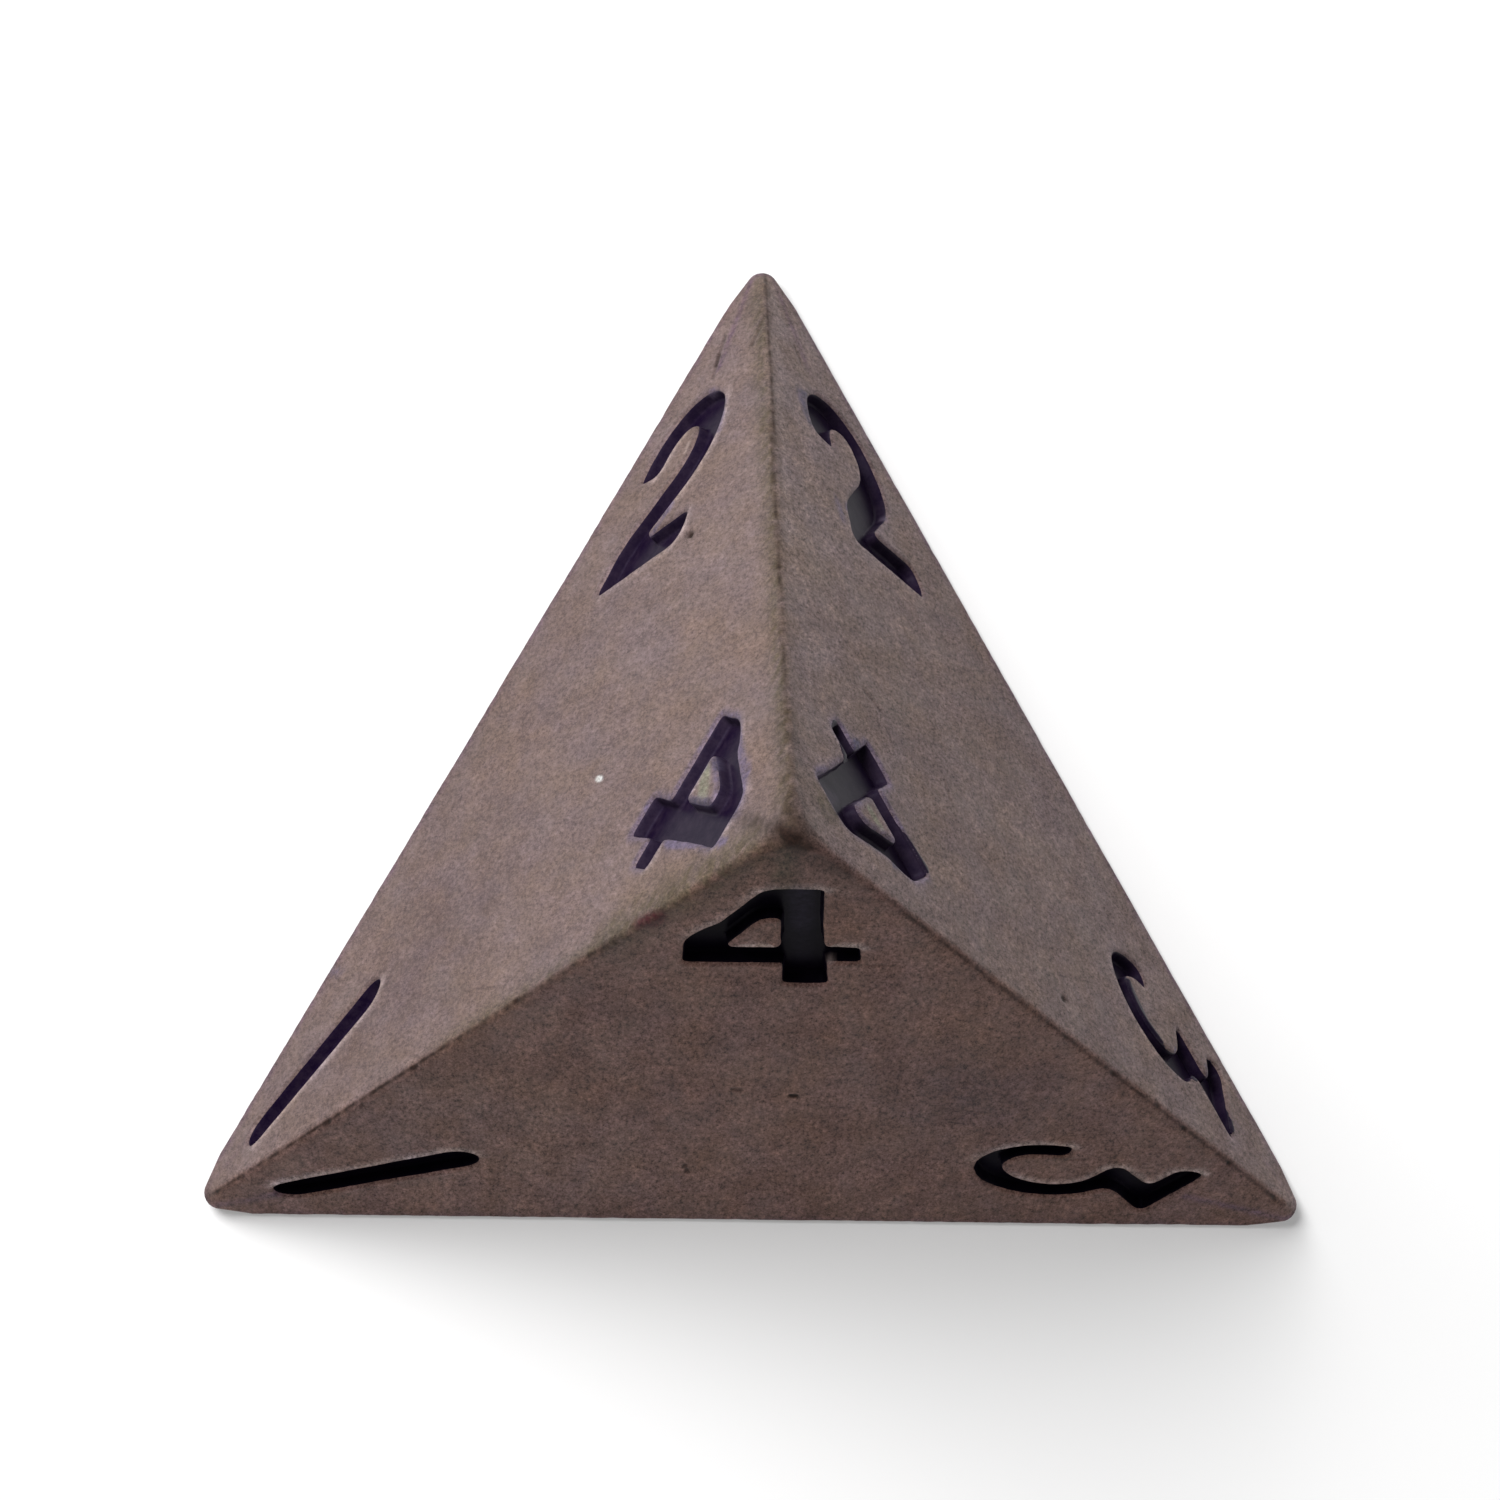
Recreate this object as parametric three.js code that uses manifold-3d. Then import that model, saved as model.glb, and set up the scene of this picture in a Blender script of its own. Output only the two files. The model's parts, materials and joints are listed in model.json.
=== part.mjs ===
// A four-sided gaming die: one solid casting in the shape of a tetrahedron, with rounded edges and
// corners, three numerals sunk into every face and a fill of paint in each numeral. The number that
// reads upright at a corner is the same on the three faces that meet there.
//
// The die rests on its base face. The origin is the centre of that face, +Z runs up through the top
// corner, and the front face looks towards -Y. All lengths are in millimetres.

import * as THREE from 'three';
import { mergeVertices } from 'three/addons/utils/BufferGeometryUtils.js';
import Module from 'manifold-3d';

const wasm = await Module();
wasm.setup();

// Driving dimensions

const edgeLength = 20; // between two sharp corners, before rounding
const edgeRadius = 0.12;
const cornerRadius = 0.3;
const edgeTaper = 1.3; // from a sharp corner to where an edge has its own radius
const numeralHeight = 3.86;
const recessDepth = 0.35; // of a numeral below its face
const paintSunk = 0.06; // from the face down to the top of the paint
const paintGap = 0.02; // clearance of a paint fill in its recess
const cutOverrun = 0.3; // how far a cutter stands out of the face

// How far the top of each numeral stays from the sharp corner that it points to

const topMarginOne = 2.18;
const topMarginTwo = 3.46;
const topMarginThree = 3.06;
const topMarginFour = 2.67;
const cornerMargin = { 1: topMarginOne, 2: topMarginTwo, 3: topMarginThree, 4: topMarginFour };

// Vertices closer than this are one: it is far below the smallest clearance

const weldShare = 0.005;
const weldDistance = weldShare * paintGap;

// Steps round a rounded edge, and along each curve of a numeral's outline

const edgeSteps = 8;
const curveSteps = 6;

const castMetal = { color: 0x8a7b72, roughness: 0.45, metalness: 0.9 };
const glossPaint = { color: 0x0d0b16, roughness: 0.2, metalness: 0 };

// The sharp tetrahedron that the rounded one is worked out from

const faceCentreToSide = edgeLength / (2 * Math.sqrt(3));
const faceCentreToCorner = edgeLength / Math.sqrt(3);
const sharpHeight = edgeLength * Math.sqrt(2 / 3);

const corners = {
  1: new THREE.Vector3(-edgeLength / 2, -faceCentreToSide, 0),
  2: new THREE.Vector3(0, faceCentreToCorner, 0),
  3: new THREE.Vector3(edgeLength / 2, -faceCentreToSide, 0),
  4: new THREE.Vector3(0, 0, sharpHeight),
};
const cornerNumbers = Object.keys(corners);

// Every face is named, and known by the corner that lies opposite it

const faceOpposite = { front: '2', left: '3', right: '1', base: '4' };

// Outlines of the numerals, in shares of their height. The first pair of a path is its start. Then a
// pair is the end of a straight line, four numbers are the control point and end of a quadratic
// curve, and six are the two control points and end of a cubic curve. A numeral's foot is at y = 0.

const outlineShares = {
  1: {
    outline: [
      [-0.105, 0.1],
      [-0.1, -0.03, 0.1, -0.03, 0.1, 0.1],
      [0.095, 0.92],
      [0.085, 1.025, 0.015, 1.03],
      [-0.075, 1.02, -0.08, 0.93],
    ],
    hole: null,
  },
  2: {
    outline: [
      [-0.33, 0.66],
      [-0.305, 0.855, -0.16, 1, 0.02, 1],
      [0.2, 1, 0.335, 0.865, 0.335, 0.665],
      [0.335, 0.545, 0.28, 0.455, 0.2, 0.385],
      [-0.015, 0.215],
      [-0.025, 0.19, 0.005, 0.188],
      [0.29, 0.188],
      [0.35, 0.185, 0.352, 0.12],
      [0.355, 0.005, 0.295, 0],
      [-0.335, 0],
      [-0.365, 0.015, -0.352, 0.05],
      [-0.32, 0.125],
      [-0.3, 0.22, -0.22, 0.3],
      [0.03, 0.51],
      [0.095, 0.575, 0.12, 0.625, 0.12, 0.69],
      [0.12, 0.77, 0.09, 0.815, 0.025, 0.815],
      [-0.065, 0.815, -0.115, 0.745, -0.135, 0.655],
      [-0.15, 0.625, -0.19, 0.628],
      [-0.29, 0.64],
      [-0.328, 0.645, -0.33, 0.66],
    ],
    hole: null,
  },
  3: {
    outline: [
      [-0.275, 0.975],
      [0.16, 0.99],
      [0.225, 0.99, 0.185, 0.93],
      [0.075, 0.755],
      [0.035, 0.69, 0.09, 0.665],
      [0.22, 0.64, 0.31, 0.5, 0.31, 0.34],
      [0.31, 0.14, 0.17, 0, 0, 0],
      [-0.14, 0, -0.25, 0.1, -0.285, 0.235],
      [-0.295, 0.285, -0.25, 0.297],
      [-0.21, 0.31],
      [-0.17, 0.315, -0.16, 0.275],
      [-0.13, 0.175, -0.08, 0.122, 0, 0.122],
      [0.095, 0.122, 0.165, 0.215, 0.165, 0.33],
      [0.165, 0.46, 0.075, 0.56, -0.03, 0.56],
      [-0.14, 0.56],
      [-0.22, 0.565, -0.185, 0.625],
      [-0.1, 0.78],
      [-0.085, 0.835, -0.145, 0.838],
      [-0.28, 0.84],
      [-0.345, 0.845, -0.345, 0.975, -0.275, 0.975],
    ],
    hole: null,
  },
  4: {
    outline: [
      [0.03, 0],
      [0.2, 0],
      [0.215, 0, 0.212, 0.015],
      [0.195, 0.24],
      [0.325, 0.24],
      [0.34, 0.24, 0.338, 0.255],
      [0.325, 0.4],
      [0.178, 0.405],
      [0.16, 0.7],
      [0.152, 0.98],
      [0.15, 1, 0.13, 1],
      [-0.03, 1],
      [-0.09, 0.995, -0.115, 0.94],
      [-0.255, 0.645],
      [-0.4, 0.51, -0.403, 0.4],
      [-0.403, 0.225],
      [-0.402, 0.21, -0.39, 0.21],
      [0.012, 0.215],
      [0.018, 0.01],
      [0.019, 0, 0.03, 0],
    ],
    hole: [
      [-0.215, 0.39],
      [-0.02, 0.392],
      [-0.002, 0.392, -0.003, 0.41],
      [-0.012, 0.66],
      [-0.014, 0.685, -0.035, 0.685],
      [-0.065, 0.685],
      [-0.095, 0.682, -0.115, 0.64],
      [-0.215, 0.43],
      [-0.235, 0.39, -0.215, 0.39],
    ],
  },
};

// Where the hand-cut master strays from the middle line: across, up and turned, the first two in
// shares of the numeral's height and the turn in degrees

const strayShares = {
  front: { 1: [0.014, 0, -1], 4: [0, 0.034, 0], 3: [0.041, -0.017, 0] },
  left: { 1: [0.003, 0.002, 2.8], 2: [-0.062, 0, 0], 4: [0.035, -0.043, 0] },
  right: { 2: [0.043, 0, 0], 3: [0.031, 0.017, 0], 4: [0.011, 0.009, 0] },
  base: { 1: [0, 0, 0], 2: [0, 0, 0], 3: [0, 0, 0] },
};

// The unit arc from one direction to another

function along(from, to, share) {
  const angle = from.angleTo(to);
  return from
    .clone()
    .multiplyScalar(Math.sin((1 - share) * angle))
    .addScaledVector(to, Math.sin(share * angle))
    .divideScalar(Math.sin(angle));
}

function faceCorners(opposite) {
  return cornerNumbers.filter((number) => number !== opposite);
}

function faceCentre(opposite) {
  const centre = new THREE.Vector3();
  faceCorners(opposite).forEach((number) => centre.add(corners[number]));
  return centre.divideScalar(3);
}

function faceNormal(opposite) {
  return faceCentre(opposite).sub(corners[opposite]).normalize();
}

const dieCentre = new THREE.Vector3(0, 0, sharpHeight / 4);

// The body before its numerals are cut. A ball rounds each corner. Two equal arcs across an edge bound
// its even middle part, and from each of them the edge widens to the ball. Everything touches the
// planes of the sharp tetrahedron, and a flat polygon fills what is left of each face.

function roundedTetrahedron() {
  const positions = [];

  function addTriangle(a, b, c) {
    const normal = new THREE.Vector3().subVectors(b, a).cross(new THREE.Vector3().subVectors(c, a));
    const outward = normal.dot(new THREE.Vector3().subVectors(a, dieCentre)) > 0;
    const ring = outward ? [a, b, c] : [a, c, b];
    ring.forEach((point) => positions.push(point.x, point.y, point.z));
  }

  // A ball that touches the three planes at a corner has its centre three radii from the corner
  function onBall(number, direction) {
    const inward = new THREE.Vector3().subVectors(dieCentre, corners[number]).normalize();
    return corners[number]
      .clone()
      .addScaledVector(inward, 3 * cornerRadius)
      .addScaledVector(direction, cornerRadius);
  }

  // A point of the arc across an edge, near its start. An arc that touches the two planes at an edge
  // has its centre the square root of three radii from the edge.
  function onEdge(start, end, direction) {
    const middle = new THREE.Vector3().addVectors(corners[start], corners[end]).divideScalar(2);
    const inward = new THREE.Vector3().subVectors(dieCentre, middle).normalize();
    const lengthwise = new THREE.Vector3().subVectors(corners[end], corners[start]).normalize();
    return corners[start]
      .clone()
      .addScaledVector(lengthwise, edgeTaper)
      .addScaledVector(inward, Math.sqrt(3) * edgeRadius)
      .addScaledVector(direction, edgeRadius);
  }

  function addBall(number) {
    const [first, second, third] = faceCorners(number).map(faceNormal);
    const rows = [];
    for (let row = 0; row <= edgeSteps; row += 1) {
      const start = along(first, second, row / edgeSteps);
      const end = along(first, third, row / edgeSteps);
      const points = [];
      for (let step = 0; step <= row; step += 1) {
        const direction = row === 0 ? start : along(start, end, step / row);
        points.push(onBall(number, direction));
      }
      rows.push(points);
    }
    for (let row = 0; row < edgeSteps; row += 1) {
      for (let step = 0; step <= row; step += 1) {
        addTriangle(rows[row][step], rows[row + 1][step], rows[row + 1][step + 1]);
        if (step < row) {
          addTriangle(rows[row][step], rows[row + 1][step + 1], rows[row][step + 1]);
        }
      }
    }
  }

  function edgeArcs(start, end, direction) {
    return [
      onBall(start, direction),
      onEdge(start, end, direction),
      onEdge(end, start, direction),
      onBall(end, direction),
    ];
  }

  function addEdge(start, end) {
    const [first, second] = faceCorners(start).filter((number) => number !== end).map(faceNormal);
    for (let step = 0; step < edgeSteps; step += 1) {
      const here = edgeArcs(start, end, along(first, second, step / edgeSteps));
      const next = edgeArcs(start, end, along(first, second, (step + 1) / edgeSteps));
      for (let part = 0; part + 1 < here.length; part += 1) {
        addTriangle(here[part], next[part], next[part + 1]);
        addTriangle(here[part], next[part + 1], here[part + 1]);
      }
    }
  }

  function addFace(opposite) {
    const normal = faceNormal(opposite);
    const centre = faceCentre(opposite);
    const ring = faceCorners(opposite).flatMap((number, index, all) => {
      const before = all[(index + all.length - 1) % all.length];
      const after = all[(index + 1) % all.length];
      return [onEdge(number, before, normal), onBall(number, normal), onEdge(number, after, normal)];
    });
    ring.forEach((point, index) => addTriangle(centre, point, ring[(index + 1) % ring.length]));
  }

  cornerNumbers.forEach((number) => {
    addFace(number);
    addBall(number);
    cornerNumbers.filter((other) => other > number).forEach((other) => addEdge(number, other));
  });

  const geometry = new THREE.BufferGeometry();
  geometry.setAttribute('position', new THREE.Float32BufferAttribute(positions, 3));
  return geometry;
}

// Numerals

function tracePath(rows) {
  const path = new THREE.Path();
  const [start, ...pieces] = rows;
  path.moveTo(...start);
  pieces.forEach((piece) => {
    if (piece.length === 2) {
      path.lineTo(...piece);
    } else if (piece.length === 4) {
      path.quadraticCurveTo(...piece);
    } else {
      path.bezierCurveTo(...piece);
    }
  });
  return path.getPoints(curveSteps).map((point) => point.multiplyScalar(numeralHeight));
}

function withoutRepeats(points) {
  return points.filter((point, index) => {
    const previous = points[(index + points.length - 1) % points.length];
    return point.distanceTo(previous) > weldDistance;
  });
}

// Moves every side of a closed outline by the same distance to its left

function moveSides(points, distance) {
  return points.map((point, index) => {
    const before = points[(index + points.length - 1) % points.length];
    const after = points[(index + 1) % points.length];
    const sideIn = new THREE.Vector2().subVectors(point, before).normalize();
    const sideOut = new THREE.Vector2().subVectors(after, point).normalize();
    const leftIn = new THREE.Vector2(-sideIn.y, sideIn.x);
    const leftOut = new THREE.Vector2(-sideOut.y, sideOut.x);
    const mitre = new THREE.Vector2().addVectors(leftIn, leftOut);
    mitre.multiplyScalar(distance / (1 + leftIn.dot(leftOut)));
    return new THREE.Vector2().addVectors(point, mitre);
  });
}

function counterClockwise(points) {
  return THREE.ShapeUtils.isClockWise(points) ? points.slice().reverse() : points;
}

// A numeral as a flat shape, with its sides drawn in by the given clearance

function numeralShape(number, clearance) {
  const { outline, hole } = outlineShares[number];
  const outer = counterClockwise(withoutRepeats(tracePath(outline)));
  const shape = new THREE.Shape(moveSides(outer, clearance));
  if (hole) {
    const inner = counterClockwise(withoutRepeats(tracePath(hole)));
    shape.holes.push(new THREE.Path(moveSides(inner, -clearance)));
  }
  return shape;
}

// Where a numeral lies: its own y axis points to its corner, its z axis out of the face

function numeralFrame(face, number) {
  const opposite = faceOpposite[face];
  const [across, upward, turn] = strayShares[face][number];
  const centre = faceCentre(opposite);
  const out = faceNormal(opposite);
  const up = new THREE.Vector3().subVectors(corners[number], centre).normalize();
  const right = new THREE.Vector3().crossVectors(up, out);
  const foot = faceCentreToCorner - cornerMargin[number] - numeralHeight;
  const onFace = new THREE.Matrix4().makeBasis(right, up, out).setPosition(centre);
  const stray = new THREE.Matrix4()
    .makeRotationZ(THREE.MathUtils.degToRad(turn))
    .setPosition(across * numeralHeight, foot + upward * numeralHeight, 0);
  return onFace.multiply(stray);
}

function numeralCutter(face, number) {
  const depth = recessDepth + cutOverrun;
  const geometry = new THREE.ExtrudeGeometry(numeralShape(number, 0), { depth, bevelEnabled: false });
  geometry.translate(0, 0, -recessDepth);
  return geometry.applyMatrix4(numeralFrame(face, number));
}

function paintMesh(face, number) {
  const floor = paintGap - recessDepth;
  const depth = -paintSunk - floor;
  const shape = numeralShape(number, paintGap);
  const geometry = new THREE.ExtrudeGeometry(shape, { depth, bevelEnabled: false });
  geometry.translate(0, 0, floor);
  const mesh = new THREE.Mesh(geometry, new THREE.MeshStandardMaterial(glossPaint));
  mesh.name = `paint_${number}_${face}`;
  mesh.applyMatrix4(numeralFrame(face, number));
  return mesh;
}

// Solids

function solidFrom(geometry) {
  const bare = geometry.clone();
  bare.deleteAttribute('normal');
  bare.deleteAttribute('uv');
  const merged = mergeVertices(bare, weldDistance);
  return new wasm.Manifold(
    new wasm.Mesh({
      numProp: 3,
      vertProperties: new Float32Array(merged.attributes.position.array),
      triVerts: new Uint32Array(merged.index.array),
    }),
  );
}

function geometryFrom(solid) {
  const mesh = solid.getMesh();
  const geometry = new THREE.BufferGeometry();
  geometry.setAttribute('position', new THREE.BufferAttribute(mesh.vertProperties, 3));
  geometry.setIndex(new THREE.BufferAttribute(mesh.triVerts, 1));
  geometry.computeVertexNormals();
  return geometry;
}

function bodyMesh() {
  let solid = solidFrom(roundedTetrahedron());
  Object.keys(faceOpposite).forEach((face) => {
    faceCorners(faceOpposite[face]).forEach((number) => {
      solid = solid.subtract(solidFrom(numeralCutter(face, number)));
    });
  });
  const mesh = new THREE.Mesh(geometryFrom(solid), new THREE.MeshStandardMaterial(castMetal));
  mesh.name = 'die_body';
  return mesh;
}

const die = new THREE.Group();
die.add(bodyMesh());
Object.keys(faceOpposite).forEach((face) => {
  faceCorners(faceOpposite[face]).forEach((number) => die.add(paintMesh(face, number)));
});

export default die;
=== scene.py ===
"""Looks of the tetrahedral die: satin cast metal with worn ridges, its numerals filled with enamel."""

import json
import math

import bpy
import numpy as np
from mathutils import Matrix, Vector, noise
from mathutils.geometry import delaunay_2d_cdt


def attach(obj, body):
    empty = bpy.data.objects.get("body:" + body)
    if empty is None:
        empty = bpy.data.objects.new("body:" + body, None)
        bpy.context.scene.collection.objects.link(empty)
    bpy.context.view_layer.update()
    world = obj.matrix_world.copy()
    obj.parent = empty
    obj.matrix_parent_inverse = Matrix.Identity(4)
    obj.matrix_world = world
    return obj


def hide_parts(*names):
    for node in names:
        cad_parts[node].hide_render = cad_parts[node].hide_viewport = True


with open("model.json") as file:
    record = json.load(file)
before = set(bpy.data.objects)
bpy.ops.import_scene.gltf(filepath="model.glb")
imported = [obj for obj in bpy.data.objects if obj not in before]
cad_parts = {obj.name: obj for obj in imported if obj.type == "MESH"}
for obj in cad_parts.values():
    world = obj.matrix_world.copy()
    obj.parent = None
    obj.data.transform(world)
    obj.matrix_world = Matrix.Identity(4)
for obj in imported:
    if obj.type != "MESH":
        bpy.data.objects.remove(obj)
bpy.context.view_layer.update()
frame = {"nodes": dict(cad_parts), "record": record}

# The frame is in metres, and the lengths below are in millimetres
MM = 0.001

# Camera, fitted to the outline, ridges and numerals of the photograph
CAMERA_PLACE = (-4.517, -7.960, 122.718)
CAMERA_TURN = (4.8671, -2.1117, 0.6453)
SENSOR_WIDTH = 36.0
CAMERA_LENS = 168.0

# Lamp, surroundings and floor
KEY_PLACE = (-88, 90, 190)
KEY_SIZE = 115
KEY_POWER = 0.71
AMBIENT = 0.08
FLOOR_COLOUR = (0.7, 0.7, 0.7, 1)
FLOOR_GLOW = 0.28
FLOOR_REACH = 600.0
FLOOR_LEVEL = -0.02
WHITE = (1, 1, 1, 1)

# Rounding of the edges, as in the CAD model
EDGE_RADIUS = 0.12
EDGE_TAPER = 1.3

# Mesh spacings
BORDER_STEP = 0.07
BORDER_ROWS = (-0.05, -0.11)
RIM_STEP = 0.055
FACE_STEP = 0.15
BASE_STEP = 0.25
PAINT_STEP = 0.055
ARC_STEPS = 10
WELD_STEP = 1e-4
SLIVER_THICKNESS = 1e-5
FACE_THINNING = 0.012
FILM_THINNING = 0.01
PAINT_THINNING = 0.008

# Grain, pits, smears and painted reflections are drawn out down the slopes: their shapes ignore most of the
# height
DRAWN_OUT = (1.0, 1.0, 0.3)
SLOPE_STRETCH = 2.3

# Section of a recess: distance outside the rim and height over the face
RECESS_DEPTH = 0.35
PAINT_GAP = 0.02
RECESS_SECTION = (
    (-0.085, -RECESS_DEPTH),
    (-0.055, -0.32),
    (-0.020, -0.10),
    (0.000, -0.040),
    (0.020, -0.016),
    (0.045, -0.002),
    (0.085, 0.006),
    (0.130, 0.003),
    (0.190, 0.000),
)

# Waves of the rims: their size, height and seed
RIM_WAVES = ((0.35, 0.010, 1), (0.13, 0.006, 2))

# Enamel: where it meets the wall, and how far it sinks between the rims
PAINT_EDGE_INSIDE = -0.003
PAINT_EDGE_HEIGHT = -0.038
PAINT_RINGS = (0.01, 0.023, 0.04, 0.058, 0.09, 0.12)
PAINT_COAT = 0.012
PAINT_SINK = 0.21
PAINT_REACH = 0.05
PAINT_FLOOR_GAP = 0.004
SETTLING_ROUNDS = 150


def unit(vector):
    """The vector at length one."""
    vector = np.asarray(vector, float)
    return vector / np.linalg.norm(vector)


class Face:
    """One flat face: its plane from the mount of that name, its corners and its own right and up."""

    def __init__(self, name, centre, normal):
        self.name = name
        self.centre = np.array(centre, float) / MM
        self.normal = unit(normal)
        nodes = frame["nodes"]
        self.corners = [n for n in "1234" if f"paint_{n}_{name}" in nodes]

    def aim(self, top):
        """Turns the face's up toward the point top."""
        self.up = unit(top - self.centre - ((top - self.centre) @ self.normal) * self.normal)
        self.right = np.cross(self.up, self.normal)

    def place(self, flat, height=0.0):
        """Points in space for flat points (right, up) at a height over the face."""
        flat = np.asarray(flat, float).reshape(-1, 2)
        lifted = np.reshape(height, (-1, 1)) * self.normal
        return self.centre + flat[:, :1] * self.right + flat[:, 1:] * self.up + lifted

    def flatten(self, points):
        """Flat points (right, up) and heights over the face for points in space."""
        away = np.asarray(points, float).reshape(-1, 3) - self.centre
        return np.column_stack([away @ self.right, away @ self.up]), away @ self.normal


def read_faces():
    """The four faces by name, from the frame's mounts."""
    found = {}
    for mount in frame["record"]["mounts"]:
        name = mount["name"].removesuffix("_face")
        found[name] = Face(name, mount["pos_m"], mount["axis"])
    return found


def sharp_corner(number):
    """Where the three faces that carry a number meet."""
    meeting = [face for face in faces.values() if number in face.corners]
    normals = np.array([face.normal for face in meeting])
    return np.linalg.solve(normals, [face.normal @ face.centre for face in meeting])


faces = read_faces()
corners = {number: sharp_corner(number) for number in "1234"}
for face in faces.values():
    face.aim(corners["2" if face.name == "base" else "4"])

# The corners are rounded, so the top stands two radii under the sharp corner
body_top = max(vertex.co.z for vertex in frame["nodes"]["die_body"].data.vertices)
corner_radius = (corners["4"][2] - body_top / MM) / 2
middle = sum(corners.values()) / 4
ball_centres = {
    number: corner + unit(middle - corner) * 3 * corner_radius for number, corner in corners.items()
}


class Edge:
    """A rounded edge between two corners: the arcs across it, and its own coordinates."""

    def __init__(self, a, b, first):
        self.ends = a, b
        self.halfway = (corners[a] + corners[b]) / 2
        self.lengthwise = unit(corners[b] - corners[a])
        self.first = faces[first]
        second = (f for f in faces.values() if a in f.corners and b in f.corners and f.name != first)
        self.second = next(second)
        self.across = unit(self.first.normal - self.second.normal)
        offset = math.sqrt(3) * EDGE_RADIUS * unit(middle - self.halfway)
        taper = EDGE_TAPER * self.lengthwise
        knots = [ball_centres[a], corners[a] + taper + offset, corners[b] - taper + offset, ball_centres[b]]
        sizes = [corner_radius, EDGE_RADIUS, EDGE_RADIUS, corner_radius]
        places = np.array([(knot - knots[0]) @ self.lengthwise for knot in knots])
        parts = [
            np.linspace(low, high, round((high - low) / BORDER_STEP), endpoint=False)
            for low, high in zip(places, places[1:])
        ]
        self.places = np.concatenate(parts + [places[-1:]])
        self.centres = np.column_stack(
            [np.interp(self.places, places, [knot[axis] for knot in knots]) for axis in range(3)]
        )
        self.radii = np.interp(self.places, places, sizes)

    def row(self, direction):
        """Points along the edge where its skin looks in one direction."""
        return self.centres + self.radii[:, None] * direction

    def coordinates(self, points):
        """Places along from halfway, sideways over the faces (positive on the first), and how far off."""
        away = points - self.halfway
        along = away @ self.lengthwise
        off = np.linalg.norm(away - along[:, None] * self.lengthwise, axis=1)
        return along, math.sqrt(3) * (away @ self.across), off


edges = {
    a + b: Edge(a, b, first)
    for a, b, first in (
        ("1", "2", "left"),
        ("1", "3", "front"),
        ("2", "3", "right"),
        ("1", "4", "front"),
        ("2", "4", "left"),
        ("3", "4", "front"),
    )
}


def lumps(points, size, seed):
    """Smooth noise from about -1 to 1 at each point, with lumps about that size across."""
    shift = Vector((17.3 * seed, 5.1 * seed, 9.7 * seed))
    return np.array([noise.noise(Vector(point) / size + shift) for point in points])


def smooth_step(value, low, high):
    """Rises from 0 at low to 1 at high."""
    share = np.clip((value - low) / (high - low), 0, 1)
    return share * share * (3 - 2 * share)


def top_outlines(node, face):
    """The closed outlines of a paint solid's top, as flat points of its face."""
    mesh = frame["nodes"][node].data
    mesh.calc_loop_triangles()
    flat, height = face.flatten([vertex.co / MM for vertex in mesh.vertices])
    keys = [tuple(point) for point in np.round(flat, 4)]
    top = height > height.max() - PAINT_GAP / 2
    sides = set()
    for triangle in mesh.loop_triangles:
        if all(top[i] for i in triangle.vertices):
            a, b, c = (keys[i] for i in triangle.vertices)
            sides |= {(a, b), (b, c), (c, a)}
    following = {a: b for a, b in sides if (b, a) not in sides}
    outlines = []
    while following:
        start, point = following.popitem()
        outline = [start]
        while point != start:
            outline.append(point)
            point = following.pop(point)
        outlines.append(np.array(outline))
    return sorted(outlines, key=len, reverse=True)


def outward(outline):
    """Unit vectors that point out of the metal's opening at each point of an outline."""
    along = np.roll(outline, -1, 0) - np.roll(outline, 1, 0)
    along /= np.linalg.norm(along, axis=1)[:, None]
    return np.column_stack([along[:, 1], -along[:, 0]])


def resampled(outline, step):
    """The outline with points about a step apart, its corners a little softened."""
    closed = np.vstack([outline, outline[:1]])
    lengths = np.r_[0, np.cumsum(np.linalg.norm(np.diff(closed, axis=0), axis=1))]
    places = np.linspace(0, lengths[-1], round(lengths[-1] / step), endpoint=False)
    points = np.column_stack([np.interp(places, lengths, closed[:, k]) for k in (0, 1)])
    for _ in range(3):
        points = (np.roll(points, 1, 0) + 2 * points + np.roll(points, -1, 0)) / 4
    return points


def rim_outlines(node, face):
    """The rims of a recess: the paint's outlines, grown by the gap, with the casting's slight waves."""
    rims = []
    for outline in top_outlines(node, face):
        points = resampled(outline, RIM_STEP)
        points = points + PAINT_GAP * outward(points)
        spots = face.place(points)
        waves = sum(height * lumps(spots, size, seed) for size, height, seed in RIM_WAVES)
        rims.append(points + waves[:, None] * outward(points))
    return rims


def distance_to(points, outlines):
    """How far flat points lie outside the outlines, negative inside."""
    start_x, start_y = np.vstack(outlines).T
    end_x, end_y = np.vstack([np.roll(outline, -1, 0) for outline in outlines]).T
    span_x, span_y = end_x - start_x, end_y - start_y
    squared = span_x**2 + span_y**2
    slant = span_x / np.where(span_y == 0, 1, span_y)
    result = np.empty(len(points))
    for first in range(0, len(points), 500):
        x, y = points[first : first + 500].T[:, :, None]
        away_x, away_y = x - start_x, y - start_y
        inside = ((start_y > y) != (end_y > y)) & (away_x < away_y * slant)
        share = np.clip((away_x * span_x + away_y * span_y) / squared, 0, 1)
        away_x -= share * span_x
        away_y -= share * span_y
        nearest = np.sqrt((away_x**2 + away_y**2).min(1))
        result[first : first + 500] = np.where(inside.sum(1) % 2 == 1, -nearest, nearest)
    return result


def beside(outlines, distance):
    """Points that lie at a distance outside the outlines, negative for inside."""
    moved = np.vstack([outline + distance * outward(outline) for outline in outlines])
    true_distance = distance_to(moved, outlines)
    return moved[np.abs(true_distance - distance) < 0.004 + 0.3 * abs(distance)]


def thinned(points, step):
    """The points with at most one in each square of that step."""
    squares = np.floor(points / step).astype(int)
    _, kept = np.unique(squares, axis=0, return_index=True)
    return points[np.sort(kept)]


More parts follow.
